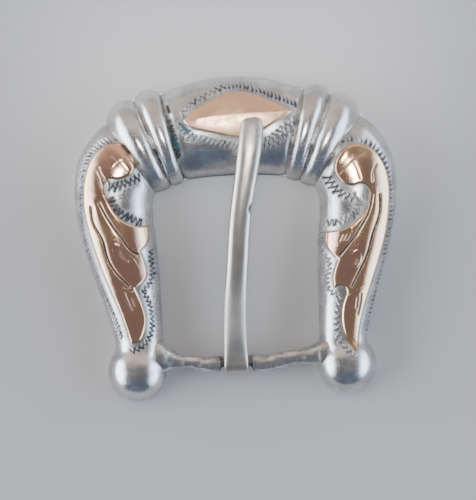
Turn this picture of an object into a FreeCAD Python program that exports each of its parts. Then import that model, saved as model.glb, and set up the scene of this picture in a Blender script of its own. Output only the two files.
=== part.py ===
import FreeCAD, Part

import math
import os

# A gentleman's belt buckle for a 19 mm strap. Domed silver shells, struck hollow, stand on a flat
# U-shaped back plate: a crown, two ribbed collars each side of it and two arms that end in balls.
# Gold overlays lie on the crown and the arms. A cast bar joins the arms in two flared lugs, and the
# tongue is curled round the bar's journal, so that it swings up off the crown.
# Millimetres. X runs across the strap, Y from the bar to the crown and Z out of the front. The flat
# back lies on Z = 0, and the origin is under the middle of the buckle.

Vec = FreeCAD.Vector

# Driving dimensions
HALF_WIDTH = 21.0  # centreline to an arm's widest point
HALF_LENGTH = 20.9  # origin to the crown's top edge, and to the lowest point of the balls
OPENING_HALF_WIDTH = 10.2  # centreline to an arm's inner edge beside the strap
PLATE_THICKNESS = 0.9
WALL = 0.8  # sheet that the shells are struck from
OVERLAY_THICKNESS = 0.35
CROWN_RISE = 4.7  # of the crown's dome above the plate
RIB_RISE = 5.0
GROOVE_RISE = 3.8  # where two ribs, or a rib and its neighbour, meet
ARM_RISE = 4.2
NECK_RISE = 2.9  # of the arm where it runs into its ball
BALL_RADIUS = 3.85
BALL_CENTRE = (13.65, BALL_RADIUS - HALF_LENGTH)
ARCH_SPANS = 12  # spans of the spline that draws an arch
CUT_DEPTH = 2.0  # how far a cutting tool runs past what it cuts

# The bar and the tongue that turns on it
BAR_Y = -16.25
BAR_Z = 2.0
JOURNAL_RADIUS = 0.8
JOURNAL_ENDS = (-2.7, 1.2)
BORE_CLEARANCE = 0.08
TONGUE_WIDTH = 3.1
TONGUE_X = -0.75  # middle of the tongue's loop
LOOP_RADIUS = 1.72

# Stations of the domed shells on the right-hand half: a point on the outer edge, one on the inner
# edge, and the rise of the arch between them.
CROWN = [
    ((0.0, HALF_LENGTH), (0.0, 8.0), CROWN_RISE),
    ((4.0, 20.55), (2.9, 7.95), CROWN_RISE),
    ((6.9, 19.8), (5.0, 7.8), CROWN_RISE - 0.15),
    ((8.7, 19.15), (6.15, 7.75), CROWN_RISE - 0.5),
    ((9.3, 18.75), (6.6, 7.85), GROOVE_RISE),
]
INNER_RIB = [
    ((9.3, 18.75), (6.6, 7.85), GROOVE_RISE),
    ((9.85, 19.3), (6.95, 7.35), RIB_RISE - 0.35),
    ((11.1, 19.5), (7.45, 7.1), RIB_RISE),
    ((12.3, 19.0), (8.0, 7.0), RIB_RISE - 0.35),
    ((12.8, 18.05), (8.4, 7.15), GROOVE_RISE),
]
OUTER_RIB = [
    ((12.8, 18.05), (8.4, 7.15), GROOVE_RISE),
    ((13.8, 18.35), (8.75, 6.65), RIB_RISE - 0.4),
    ((15.05, 17.9), (9.3, 6.4), RIB_RISE - 0.1),
    ((16.1, 16.8), (9.9, 6.25), RIB_RISE - 0.5),
    ((16.55, 15.25), (10.35, 6.15), GROOVE_RISE - 0.1),
]
ARM = [
    ((16.55, 15.25), (10.35, 6.15), GROOVE_RISE - 0.1),
    ((17.2, 14.85), (10.6, 5.75), ARM_RISE - 0.1),
    ((18.5, 13.6), (10.8, 5.1), ARM_RISE),
    ((19.8, 11.8), (10.9, 4.4), ARM_RISE),
    ((20.65, 9.6), (10.9, 3.5), ARM_RISE),
    ((HALF_WIDTH, 7.1), (10.85, 2.3), ARM_RISE),
    ((20.95, 4.5), (10.7, 0.9), ARM_RISE - 0.05),
    ((20.5, 1.6), (10.55, -0.9), ARM_RISE - 0.15),
    ((19.8, -1.5), (10.4, -2.9), ARM_RISE - 0.3),
    ((18.75, -5.0), (10.3, -5.4), ARM_RISE - 0.55),
    ((17.75, -8.2), (10.25, -8.2), ARM_RISE - 0.8),
    ((16.9, -11.1), (OPENING_HALF_WIDTH, -11.0), ARM_RISE - 1.05),
    ((16.35, -13.6), (10.15, -13.6), NECK_RISE),
    ((16.1, -15.6), (10.15, -15.6), NECK_RISE),
    ((15.9, -17.05), (10.4, -17.05), NECK_RISE),
]

# The back plate runs straight past the notches between the ribs, so a little of it shows in each.
PLATE_OUTER = [(0.0, 20.85), (4.0, 20.5), (6.9, 19.8), (9.35, 19.1), (13.05, 18.45), (16.65, 15.6)]
PLATE_INNER = [(10.35, 6.1), (8.4, 6.95), (6.8, 7.45), (5.0, 7.8), (2.9, 7.95), (0.0, 8.0)]

# Overlay outlines. Each run is a smooth curve, and the runs meet at corners.
CROWN_OVERLAY = [
    [(8.1, 15.95), (6.9, 16.65), (5.2, 17.5), (3.1, 18.4), (1.0, 18.95), (-1.3, 18.5), (-3.5, 17.6),
     (-5.4, 16.4), (-6.45, 15.2)],
    [(-6.45, 15.2), (-5.9, 14.6), (-3.4, 13.65), (-0.8, 12.95), (1.2, 12.75), (2.9, 13.15), (4.8, 14.15),
     (6.6, 15.15), (8.1, 15.95)],
]
# The arms' overlays are drawn for the right-hand side; the left one is mirrored when it is made.
LEFT_OVERLAY = [
    [(14.35, -13.4), (15.2, -10.5), (16.45, -7.2), (17.8, -3.7), (18.95, 0.0), (19.75, 3.5), (19.85, 6.5),
     (19.3, 9.2), (18.2, 11.3), (16.6, 12.5), (15.0, 12.65), (13.6, 12.1), (12.8, 10.7), (12.9, 9.3),
     (13.8, 8.35), (15.1, 8.0), (16.3, 8.15)],
    [(16.3, 8.15), (16.9, 7.55), (17.0, 6.4), (16.5, 5.1), (15.8, 3.75), (14.9, 2.7), (13.7, 2.0),
     (12.5, 1.8), (11.4, 1.9)],
    [(11.4, 1.9), (11.35, 0.6), (11.7, -0.6), (12.6, -1.4)],
    [(12.6, -1.4), (12.15, -2.5), (11.85, -3.7), (11.95, -4.9), (12.6, -5.6), (13.5, -6.2)],
    [(13.5, -6.2), (12.9, -7.6), (12.35, -9.1), (12.2, -10.6), (12.6, -12.0), (13.4, -13.2), (14.35, -13.4)],
]
RIGHT_OVERLAY = [
    [(15.05, -15.3), (15.45, -12.8), (16.2, -9.8), (17.4, -6.4), (18.65, -3.0), (19.6, 0.4), (20.05, 4.0),
     (19.95, 7.0), (19.2, 9.2), (17.9, 10.7), (16.2, 11.35), (14.6, 11.05), (13.4, 10.0), (12.9, 8.5),
     (13.25, 7.2), (14.2, 6.25), (15.2, 6.0), (16.0, 6.25)],
    [(16.0, 6.25), (16.9, 6.05), (17.45, 5.3), (17.4, 4.2), (16.8, 2.9), (15.9, 1.75), (14.6, 0.8),
     (13.0, 0.3), (11.3, 0.15)],
    [(11.3, 0.15), (11.1, -0.7), (11.5, -1.9), (12.2, -2.8), (12.9, -3.5)],
    [(12.9, -3.5), (12.4, -4.6), (12.1, -5.9), (12.25, -7.15)],
    [(12.25, -7.15), (13.1, -6.85), (13.75, -7.15), (13.95, -8.0)],
    [(13.95, -8.0), (13.4, -9.4), (13.2, -11.0), (13.35, -12.6), (13.9, -14.0), (15.05, -15.3)],
]

# Round sections of the bar: position along X, the middle's Y, and radius
BAR_LEFT = [
    (-9.9, -16.0, 0.7), (-8.5, -16.0, 0.72), (-7.4, -16.02, 0.78), (-6.0, -16.25, 0.9),
    (-4.6, -16.48, 1.02), (-3.4, -16.45, 1.05), (JOURNAL_ENDS[0], -16.35, 0.98),
]
BAR_RIGHT = [
    (JOURNAL_ENDS[1], -16.35, 0.98), (2.0, -16.55, 1.12), (3.4, -16.6, 1.15), (5.0, -16.3, 1.05),
    (6.8, -15.97, 0.93), (8.2, -15.88, 0.85), (9.9, -15.85, 0.8),
]
# Oval sections of the lugs: distance from the centreline, the middle's Y, half height in Y and in Z
LEFT_LUG = [
    (10.8, -15.3, 2.2, 1.6), (9.8, -15.45, 1.75, 1.4), (9.1, -15.7, 1.3, 1.2), (8.5, -15.95, 1.02, 1.0),
]
RIGHT_LUG = [
    (10.8, -15.55, 1.9, 1.6), (9.7, -15.65, 1.45, 1.35), (8.6, -15.8, 1.17, 1.15), (7.7, -15.9, 1.04, 1.02),
]

# Oval sections of the tongue: position along Y, the middle's X and Z, half width and half thickness
TONGUE = [
    (-17.3, TONGUE_X, 3.0, 1.5, 0.3), (-16.2, TONGUE_X, 3.25, 1.53, 0.45), (-14.6, TONGUE_X, 3.5, 1.53, 0.6),
    (-12.0, -0.72, 3.95, 1.5, 0.75), (-8.0, -0.52, 4.6, 1.46, 0.84), (-4.0, -0.15, 5.2, 1.43, 0.88),
    (0.0, 0.22, 5.72, 1.42, 0.88), (4.0, 0.75, 6.18, 1.44, 0.88), (8.0, 1.5, 6.58, 1.5, 0.86),
    (11.0, 2.02, 6.77, 1.54, 0.82), (13.2, 2.32, 6.8, 1.52, 0.78), (14.5, 2.45, 6.77, 1.32, 0.7),
    (15.1, 2.5, 6.74, 0.95, 0.52), (15.3, 2.5, 6.72, 0.55, 0.3),
]
TAIL_LENGTH = 2.7  # of the curl's end, from the bar's axis, where it lies against the tongue's back
TAIL_HEIGHTS = (2.6, 3.35)  # its lower and upper faces


def plan(point, z=0.0):
    return Vec(point[0], point[1], z)


def mirrored(shape):
    return shape.mirror(Vec(0, 0, 0), Vec(1, 0, 0))


def spline(points):
    curve = Part.BSplineCurve()
    curve.interpolate(points)
    return curve.toShape()


def arch_wire(station, inset):
    """Closed upright section: half an ellipse between two plan points. With an inset it is the
    hollow under the sheet, and runs below the plate's face so that it cuts cleanly."""
    outer, inner, rise = station
    middle = (plan(outer) + plan(inner)) * 0.5
    half = (plan(outer) - plan(inner)) * 0.5
    half = half * ((half.Length - inset) / half.Length)
    points = []
    for i in range(ARCH_SPANS + 1):
        angle = math.pi * i / ARCH_SPANS
        height = PLATE_THICKNESS + (rise - inset) * math.sin(angle)
        points.append(middle + half * math.cos(angle) + Vec(0, 0, height))
    arch = Part.BSplineCurve()
    arch.interpolate(Points=points, Parameters=[i / ARCH_SPANS for i in range(ARCH_SPANS + 1)])
    if inset <= 0:
        return Part.Wire([arch.toShape(), Part.makeLine(points[-1], points[0])])
    left = points[-1] - Vec(0, 0, CUT_DEPTH)
    right = points[0] - Vec(0, 0, CUT_DEPTH)
    return Part.Wire([
        arch.toShape(),
        Part.makeLine(points[-1], left),
        Part.makeLine(left, right),
        Part.makeLine(right, points[0]),
    ])


def dome(stations, inset=0.0):
    return Part.makeLoft([arch_wire(s, inset) for s in stations], True)


def both_halves(stations):
    """The stations of a symmetrical piece, from its left end to its right end."""
    left = [((-o[0], o[1]), (-i[0], i[1]), rise) for o, i, rise in reversed(stations[1:])]
    return left + stations


def struck_shell(stations):
    return dome(stations).cut(dome(stations, WALL))


def arm_form(inset=0.0):
    """The arm's dome with its ball: the outside when inset is 0, the hollow when it is WALL, and the
    top of an overlay when it is minus the overlay's thickness."""
    lowest_latitude = -90 if inset > 0 else 0
    centre = plan(BALL_CENTRE, PLATE_THICKNESS)
    ball = Part.makeSphere(BALL_RADIUS - inset, centre, Vec(0, 0, 1), lowest_latitude, 90, 360)
    return dome(ARM, inset).fuse(ball)


def arm_shell():
    return arm_form().cut(arm_form(WALL))


def prism(runs):
    """Upright block over an outline of smooth runs that meet at corners."""
    edges = [spline([plan(p) for p in run]) for run in runs]
    return Part.Face(Part.Wire(edges)).extrude(Vec(0, 0, 4 * CROWN_RISE))


def crown_overlay():
    stations = both_halves(CROWN)
    return dome(stations, -OVERLAY_THICKNESS).common(prism(CROWN_OVERLAY)).cut(dome(stations))


def arm_overlay(outline):
    return arm_form(-OVERLAY_THICKNESS).common(prism(outline)).cut(arm_form())


def back_plate():
    """Flat U with a disc under each ball."""
    outer = PLATE_OUTER + [s[0] for s in ARM[2:]]
    inner = [s[1] for s in reversed(ARM[1:])] + PLATE_INNER
    outer_line = [(-x, y) for x, y in reversed(outer[1:])] + outer
    inner_line = inner + [(-x, y) for x, y in reversed(inner[:-1])]
    wire = Part.Wire([
        spline([plan(p) for p in outer_line]),
        Part.makeLine(plan(outer_line[-1]), plan(inner_line[0])),
        spline([plan(p) for p in inner_line]),
        Part.makeLine(plan(inner_line[-1]), plan(outer_line[0])),
    ])
    plate = Part.Face(wire).extrude(Vec(0, 0, PLATE_THICKNESS))
    for side in (-1, 1):
        disc = Part.makeCylinder(BALL_RADIUS, PLATE_THICKNESS, Vec(side * BALL_CENTRE[0], BALL_CENTRE[1], 0))
        plate = plate.fuse(disc)
    return plate.removeSplitter()


def ellipse_wire(centre, across, up):
    """Oval section with its half axes along two vectors, the longer one first."""
    return Part.Wire([Part.Ellipse(centre + across, centre + up, centre).toShape()])


def cross_bar():
    """Cast bar, swelling each side of the plain journal that the tongue turns on."""
    ends = []
    for stations in (BAR_LEFT, BAR_RIGHT):
        rings = [Part.Wire([Part.makeCircle(r, Vec(x, y, BAR_Z), Vec(1, 0, 0))]) for x, y, r in stations]
        ends.append(Part.makeLoft(rings, True))
    start = JOURNAL_ENDS[0] - WALL
    length = JOURNAL_ENDS[1] + WALL - start
    journal = Part.makeCylinder(JOURNAL_RADIUS, length, Vec(start, BAR_Y, BAR_Z), Vec(1, 0, 0))
    return ends[0].fuse(ends[1]).fuse(journal)


def bar_lug(stations, side, arm, plate, bar):
    """Flared socket between the bar's end and an arm; side is -1 for the left one."""
    ovals = [
        ellipse_wire(Vec(side * x, y, BAR_Z), Vec(0, half_y, 0), Vec(0, 0, half_z))
        for x, y, half_y, half_z in stations
    ]
    return Part.makeLoft(ovals, True).cut(arm).cut(plate).cut(bar)


def tongue():
    """Bar with an oval section, curled round the journal at one end."""
    ovals = [
        ellipse_wire(Vec(x, y, z), Vec(half_width, 0, 0), Vec(0, 0, half_thickness))
        for y, x, z, half_width, half_thickness in TONGUE
    ]
    shank = Part.makeLoft(ovals, True)
    left = TONGUE_X - TONGUE_WIDTH / 2
    along = Vec(1, 0, 0)
    loop = Part.makeCylinder(LOOP_RADIUS, TONGUE_WIDTH, Vec(left, BAR_Y, BAR_Z), along)
    low, high = TAIL_HEIGHTS
    tail = Part.makeBox(TONGUE_WIDTH, TAIL_LENGTH, high - low, Vec(left, BAR_Y, low))
    bore = Part.makeCylinder(
        JOURNAL_RADIUS + BORE_CLEARANCE, TONGUE_WIDTH + 2 * WALL, Vec(left - WALL, BAR_Y, BAR_Z), along
    )
    return shank.fuse(loop).fuse(tail).cut(bore)


def build():
    arm = arm_shell()
    solid_arm = arm_form()
    plate = back_plate()
    bar = cross_bar()
    parts = {
        "back_plate": plate,
        "crown_shell": struck_shell(both_halves(CROWN)),
        "right_inner_collar": struck_shell(INNER_RIB),
        "right_outer_collar": struck_shell(OUTER_RIB),
        "right_arm_shell": arm,
        "crown_overlay": crown_overlay(),
        "right_arm_overlay": arm_overlay(RIGHT_OVERLAY),
        "left_arm_overlay": mirrored(arm_overlay(LEFT_OVERLAY)),
        "cross_bar": bar,
        "right_bar_lug": bar_lug(RIGHT_LUG, 1, solid_arm, plate, bar),
        "left_bar_lug": bar_lug(LEFT_LUG, -1, mirrored(solid_arm), plate, bar),
        "tongue": tongue(),
    }
    for name in ("inner_collar", "outer_collar", "arm_shell"):
        parts["left_" + name] = mirrored(parts["right_" + name])
    return parts


def main():
    os.makedirs("parts", exist_ok=True)
    for name, shape in build().items():
        box = shape.BoundBox
        size = f"{box.XLength:.2f} x {box.YLength:.2f} x {box.ZLength:.2f}"
        print(f"{name:20s} {len(shape.Solids)} solid, valid {shape.isValid()}, {size} mm")
        shape.exportStep(os.path.join("parts", name + ".step"))


if __name__ == "__main__":
    main()
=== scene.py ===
"""Looks of a western belt buckle: engraved silver shells, carved gold overlays, a cast bar and a curled
tongue. Lists of points are in millimetres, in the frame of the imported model."""

import math
import random

import bmesh
import bpy
import numpy as np
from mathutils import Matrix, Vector, kdtree, noise


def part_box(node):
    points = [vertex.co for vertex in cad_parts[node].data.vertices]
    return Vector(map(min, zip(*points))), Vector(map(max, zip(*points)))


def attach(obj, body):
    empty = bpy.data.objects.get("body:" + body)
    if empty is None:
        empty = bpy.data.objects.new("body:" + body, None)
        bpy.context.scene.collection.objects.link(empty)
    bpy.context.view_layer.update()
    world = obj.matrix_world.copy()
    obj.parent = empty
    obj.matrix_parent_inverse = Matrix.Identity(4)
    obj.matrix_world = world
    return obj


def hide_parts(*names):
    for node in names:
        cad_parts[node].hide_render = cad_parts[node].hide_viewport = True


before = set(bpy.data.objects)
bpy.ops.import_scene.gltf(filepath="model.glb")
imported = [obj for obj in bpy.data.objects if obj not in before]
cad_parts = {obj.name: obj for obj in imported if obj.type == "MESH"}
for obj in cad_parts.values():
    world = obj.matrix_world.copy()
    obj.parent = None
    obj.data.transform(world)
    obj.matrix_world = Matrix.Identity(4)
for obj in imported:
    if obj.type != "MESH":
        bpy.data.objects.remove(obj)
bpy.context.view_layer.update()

bl_info = {
    "name": "Ranger Belt Buckle",
    "version": (1, 0, 0),
    "blender": (4, 5, 0),
    "location": "View3D > Sidebar > Buckle",
    "description": "Builds the shells, overlays, bar and tongue of a western belt buckle",
    "category": "Object",
}

MM = 0.001
PLATE_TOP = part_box("back_plate")[1].z / MM
SHEET = 0.35  # thickness of the gold overlays
PLATE_EASING = 0.1  # bevel along the back plate's edges
SUNK = 0.1  # how far an overlay reaches into the shell under it
FINE = 0.081  # size of the mesh's faces
MERGE = 0.001  # points that are closer than this become one
SHARP_ANGLE = 50  # degrees between two faces, past which their edge is shaded sharp
BALL_RADIUS = 3.85
BALL_CENTRE = (13.65, -17.05)

# Stations of the domed shells on the right-hand half: outer edge, inner edge and rise of the arch
CROWN = [
    ((0.0, 20.9), (0.0, 8.0), 4.7),
    ((4.0, 20.55), (2.9, 7.95), 4.7),
    ((6.9, 19.8), (5.0, 7.8), 4.55),
    ((8.7, 19.15), (6.15, 7.75), 4.2),
    ((9.3, 18.75), (6.6, 7.85), 3.8),
]
INNER_RIB = [
    ((9.3, 18.75), (6.6, 7.85), 3.8),
    ((9.85, 19.3), (6.95, 7.35), 4.65),
    ((11.1, 19.5), (7.45, 7.1), 5.0),
    ((12.3, 19.0), (8.0, 7.0), 4.65),
    ((12.8, 18.05), (8.4, 7.15), 3.8),
]
OUTER_RIB = [
    ((12.8, 18.05), (8.4, 7.15), 3.8),
    ((13.8, 18.35), (8.75, 6.65), 4.6),
    ((15.05, 17.9), (9.3, 6.4), 4.9),
    ((16.1, 16.8), (9.9, 6.25), 4.5),
    ((16.55, 15.25), (10.35, 6.15), 3.7),
]
ARM = [
    ((16.55, 15.25), (10.35, 6.15), 3.7),
    ((17.2, 14.85), (10.6, 5.75), 4.1),
    ((18.5, 13.6), (10.8, 5.1), 4.2),
    ((19.8, 11.8), (10.9, 4.4), 4.2),
    ((20.65, 9.6), (10.9, 3.5), 4.2),
    ((21.0, 7.1), (10.85, 2.3), 4.2),
    ((20.95, 4.5), (10.7, 0.9), 4.15),
    ((20.5, 1.6), (10.55, -0.9), 4.05),
    ((19.8, -1.5), (10.4, -2.9), 3.9),
    ((18.75, -5.0), (10.3, -5.4), 3.65),
    ((17.75, -8.2), (10.25, -8.2), 3.4),
    ((16.9, -11.1), (10.2, -11.0), 3.15),
    ((16.42, -13.3), (10.15, -13.3), 2.95),
    ((16.5, -14.3), (10.15, -14.4), 3.0),
]
BALL_ANGLES = (-30, -15, 0, 15, 30, 45, 60, 72, 82, 90)  # of its sections, down the buckle from its middle

CROWN_OVERLAY = [
    [(8.1, 15.95), (6.9, 16.65), (5.2, 17.5), (3.1, 18.4), (1.0, 18.95), (-1.3, 18.5), (-3.5, 17.6),
     (-5.4, 16.4), (-6.45, 15.2)],
    [(-6.45, 15.2), (-5.9, 14.6), (-3.4, 13.65), (-0.8, 12.95), (1.2, 12.75), (2.9, 13.15), (4.8, 14.15),
     (6.6, 15.15), (8.1, 15.95)],
]
CROWN_RIDGE = [(-4.6, 15.4), (-2.4, 15.65), (0.8, 15.85), (3.9, 15.95), (6.6, 15.95)]
# What lies on the left-hand side is listed as its mirror image
LEFT_OVERLAY = [
    [(14.35, -13.4), (15.2, -10.5), (16.45, -7.2), (17.8, -3.7), (18.95, 0.0), (19.75, 3.5), (19.85, 6.5),
     (19.3, 9.2), (18.2, 11.3), (16.6, 12.5), (15.0, 12.65), (13.6, 12.1), (12.8, 10.7), (12.9, 9.3),
     (13.8, 8.35), (15.1, 8.0), (16.3, 8.15)],
    [(16.3, 8.15), (16.9, 7.55), (17.0, 6.4), (16.5, 5.1), (15.8, 3.75), (14.9, 2.7), (13.7, 2.0),
     (12.5, 1.8), (11.4, 1.9)],
    [(11.4, 1.9), (11.35, 0.6), (11.7, -0.6), (12.6, -1.4)],
    [(12.6, -1.4), (12.15, -2.5), (11.85, -3.7), (11.95, -4.9), (12.6, -5.6), (13.5, -6.2)],
    [(13.5, -6.2), (12.9, -7.6), (12.35, -9.1), (12.2, -10.6), (12.6, -12.0), (13.4, -13.2), (14.35, -13.4)],
]
RIGHT_OVERLAY = [
    [(15.05, -15.3), (15.45, -12.8), (16.2, -9.8), (17.4, -6.4), (18.65, -3.0), (19.6, 0.4), (20.05, 4.0),
     (19.95, 7.0), (19.2, 9.2), (17.9, 10.7), (16.2, 11.35), (14.6, 11.05), (13.4, 10.0), (12.9, 8.5),
     (13.25, 7.2), (14.2, 6.25), (15.2, 6.0), (16.0, 6.25)],
    [(16.0, 6.25), (16.9, 6.05), (17.45, 5.3), (17.4, 4.2), (16.8, 2.9), (15.9, 1.75), (14.6, 0.8),
     (13.0, 0.3), (11.3, 0.15)],
    [(11.3, 0.15), (11.1, -0.7), (11.5, -1.9), (12.2, -2.8), (12.9, -3.5)],
    [(12.9, -3.5), (12.4, -4.6), (12.1, -5.9), (12.25, -7.15)],
    [(12.25, -7.15), (13.1, -6.85), (13.75, -7.15), (13.95, -8.0)],
    [(13.95, -8.0), (13.4, -9.4), (13.2, -11.0), (13.35, -12.6), (13.9, -14.0), (15.05, -15.3)],
]
# Veins cut into the gold: path and weight of the cut
LEFT_VEINS = [
    ([(18.85, 4.5), (18.6, 2.3), (17.5, 0.2), (16.95, -2.1), (15.75, -4.25), (14.2, -5.9)], 1.0),
    ([(17.7, 4.95), (16.9, 3.3), (15.9, 1.7), (14.7, -0.1), (13.7, -1.4), (12.9, -1.8)], 1.0),
    ([(17.6, 9.6), (17.3, 8.7), (16.8, 8.0)], 0.7),
    ([(17.95, 8.9), (17.6, 8.0), (17.4, 7.0)], 0.7),
    ([(15.3, -1.3), (14.9, -2.0), (14.3, -2.6)], 0.6),
    ([(14.9, -6.7), (14.5, -7.9), (14.0, -9.0)], 0.6),
    ([(13.9, -7.5), (13.75, -8.0), (13.6, -8.5)], 0.6),
    ([(14.0, 8.9), (14.9, 10.1), (15.9, 11.0)], 0.35),
    ([(13.6, 10.4), (14.7, 10.3), (15.6, 9.6)], 0.35),
]
RIGHT_VEINS = [
    ([(18.7, 4.7), (18.55, 2.05), (17.65, -0.2), (16.85, -2.8), (15.7, -5.0), (14.6, -7.05)], 1.0),
    ([(17.7, 4.75), (17.2, 2.65), (16.1, 0.75), (14.8, -1.1), (13.15, -2.95)], 1.0),
    ([(18.4, 8.6), (17.9, 7.6), (17.85, 6.4)], 0.7),
    ([(15.8, -8.1), (15.6, -9.4), (15.25, -10.7)], 0.6),
    ([(15.3, -8.6), (15.2, -9.2), (15.1, -9.8)], 0.6),
    ([(15.5, -3.6), (15.3, -3.9), (15.1, -4.1)], 0.6),
    ([(14.6, -0.3), (14.4, -0.6), (14.2, -1.0)], 0.5),
    ([(14.1, -0.3), (13.9, -0.6), (13.7, -1.0)], 0.5),
    ([(13.6, -0.4), (13.4, -0.7), (13.2, -1.1)], 0.5),
    ([(13.6, 7.6), (14.6, 8.6), (15.9, 9.6), (17.0, 10.2)], 0.45),
    ([(15.4, 9.1), (15.9, 8.0), (16.2, 6.9)], 0.4),
]

# Borders cut into the shells: path, pitch, width, lean and weight of the strokes, and whether they join up
CROWN_BORDERS = [
    ([(-6.6, 15.9), (-5.6, 17.0), (-4.2, 17.9), (-2.4, 18.85), (-0.9, 19.4)],
     0.36, 0.68, 0.15, 1.2, True),
    ([(-0.9, 19.4), (1.2, 19.55), (2.6, 19.2)],
     0.42, 0.5, -0.2, 1.2, False),
    ([(2.6, 19.2), (4.2, 18.65), (5.8, 18.0), (7.3, 17.35), (8.6, 16.7)],
     0.5, 0.7, -0.4, 1.4, False),
    ([(-6.6, 14.2), (-5.4, 13.3), (-3.2, 12.6), (-1.2, 12.05), (0.6, 11.85)],
     0.3, 0.8, 0.1, 1.1, True),
    ([(3.9, 12.1), (5.4, 12.9), (6.7, 13.9), (8.0, 14.8)],
     0.3, 0.8, 0.2, 1.1, True),
    ([(3.8, 11.3), (5.2, 11.9), (6.6, 12.8), (7.6, 13.6)],
     0.32, 0.7, -0.1, 1.2, True),
    ([(-8.4, 15.5), (-8.0, 14.2), (-7.6, 12.9), (-7.35, 11.8), (-7.1, 10.6)],
     0.3, 0.5, 0.15, 2.0, True),
]
CROWN_MARKS = [[(-8.35, 17.2), (-8.15, 16.4)], [(-6.95, 14.9), (-6.5, 14.4), (-5.9, 14.0)]]
LEFT_BORDERS = [
    ([(14.9, 13.4), (16.3, 13.15), (17.6, 12.55), (18.7, 11.6), (19.4, 10.5), (20.0, 8.8)],
     0.5, 0.6, 0.2, 1.0, False),
    ([(20.0, 8.8), (20.35, 6.0), (20.35, 3.0), (19.95, 0.0), (19.1, -3.0), (18.0, -6.0), (17.0, -8.6),
      (16.0, -11.2), (15.5, -13.0)],
     0.45, 0.5, 0.4, 0.9, False),
    ([(16.5, 7.2), (15.5, 7.0), (14.4, 7.3), (13.3, 7.7), (12.3, 8.2)],
     0.3, 1.0, 0.1, 1.6, True),
    ([(16.3, 5.6), (15.6, 4.3), (14.8, 3.5), (13.6, 2.8), (12.3, 2.15)],
     0.3, 0.9, -0.1, 1.6, True),
    ([(11.2, -1.2), (11.25, -2.6), (11.1, -4.4), (11.7, -5.8), (12.4, -6.6), (11.9, -7.8), (11.5, -9.4),
      (11.4, -11.0), (11.9, -12.6), (12.9, -13.9), (14.3, -14.4)],
     0.3, 0.55, 0.0, 1.3, True),
]
RIGHT_BORDERS = [
    ([(13.4, 11.8), (15.0, 12.1), (16.7, 11.9), (18.2, 11.1), (19.2, 9.8), (19.9, 8.3)],
     0.6, 0.6, -0.2, 1.2, False),
    ([(19.9, 8.3), (20.3, 6.4), (20.4, 4.0), (20.1, 1.0), (19.4, -2.0), (18.65, -5.0), (17.8, -8.0),
      (16.95, -11.0), (16.4, -13.2)],
     0.55, 0.5, -0.35, 0.9, False),
    ([(11.9, 7.4), (12.5, 6.3), (13.3, 5.3), (14.4, 4.6), (15.7, 4.5)],
     0.34, 1.1, 0.2, 1.3, True),
    ([(11.4, 1.4), (12.6, 1.3), (14.0, 1.7), (15.2, 2.3), (16.1, 4.0)],
     0.3, 0.75, -0.1, 1.2, True),
    ([(10.95, 1.0), (10.75, -0.8), (11.1, -2.4), (11.8, -3.6), (11.6, -5.2), (11.5, -7.0), (12.2, -7.9),
      (13.2, -8.2)],
     0.3, 0.5, 0.0, 0.75, True),
    ([(13.2, -8.2), (12.7, -9.6), (12.4, -11.2), (12.5, -12.9), (13.1, -14.6), (14.6, -16.1)],
     0.36, 0.7, 0.1, 1.0, True),
]

ROUND = 2.0  # squareness of an oval
SQUARE = 4.5  # squareness of a flat strip
CURL_X = -0.75
# Sections of the tongue's strip from tip to tail: Y, Z, X, half width, half thickness and squareness
TONGUE_SHANK = [
    (15.3, 6.72, 2.5, 0.35, 0.2, 2.2),
    (15.24, 6.72, 2.5, 0.75, 0.4, 2.2),
    (15.0, 6.74, 2.49, 1.12, 0.56, 2.3),
    (14.5, 6.77, 2.45, 1.38, 0.7, 2.2),
    (13.2, 6.8, 2.32, 1.52, 0.78, 2.15),
    (11.0, 6.77, 2.02, 1.54, 0.82, 2.15),
    (8.0, 6.58, 1.5, 1.5, 0.86, 2.15),
    (4.0, 6.18, 0.75, 1.44, 0.88, 2.15),
    (0.0, 5.72, 0.22, 1.42, 0.88, 2.15),
    (-4.0, 5.2, -0.15, 1.43, 0.88, 2.15),
    (-8.0, 4.6, -0.52, 1.46, 0.84, 2.15),
    (-12.0, 3.95, -0.72, 1.5, 0.75, 2.3),
    (-14.6, 3.5, CURL_X, 1.53, 0.6, 2.6),
    (-16.2, 3.25, CURL_X, 1.54, 0.46, 3.2),
]
TONGUE_TAIL = [
    (-14.8, 2.3, CURL_X, 1.54, 0.36, SQUARE),
    (-14.35, 2.55, CURL_X, 1.53, 0.3, SQUARE),
    (-13.6, 2.68, CURL_X, 1.5, 0.24, SQUARE),
]
NICK = (2.0, 3.5, 6.4)  # middle of the dent in the tongue's right edge
NICK_REACH = 0.55
NICK_DEPTH = 0.3
CURL_ANGLES = range(125, 351, 25)  # degrees round the bar, of the curl's sections
CURL_RADIUS = 1.3
CURL_HALF_WIDTH = 1.55
CURL_THICKNESS = 0.84
BAR_Y = -16.25
BAR_Z = 2.0
LUMP_SIZE = 1.6
TONGUE_SIDES, BAR_SIDES, LUG_SIDES = 72, 48, 56  # faces round each

# Sections of the bar: X, Y, radius and how lumpy its casting is
BAR = [
    (-9.9, -16.0, 0.7, 0.5), (-8.5, -16.0, 0.72, 1.0), (-7.4, -16.02, 0.78, 1.0), (-6.0, -16.25, 0.9, 1.0),
    (-4.6, -16.48, 1.02, 1.0), (-3.4, -16.45, 1.05, 0.7), (-2.85, -16.38, 0.97, 0.2),
    (-2.72, -16.28, 0.8, 0.0), (-1.5, -16.25, 0.79, 0.0), (0.0, -16.25, 0.79, 0.0), (1.22, -16.28, 0.8, 0.0),
    (1.35, -16.38, 0.97, 0.2), (2.0, -16.55, 1.1, 0.7), (3.4, -16.6, 1.13, 1.0), (5.0, -16.3, 1.05, 1.0),
    (6.8, -15.97, 0.93, 1.0), (8.2, -15.88, 0.85, 1.0), (9.9, -15.85, 0.8, 0.5),
]
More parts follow.
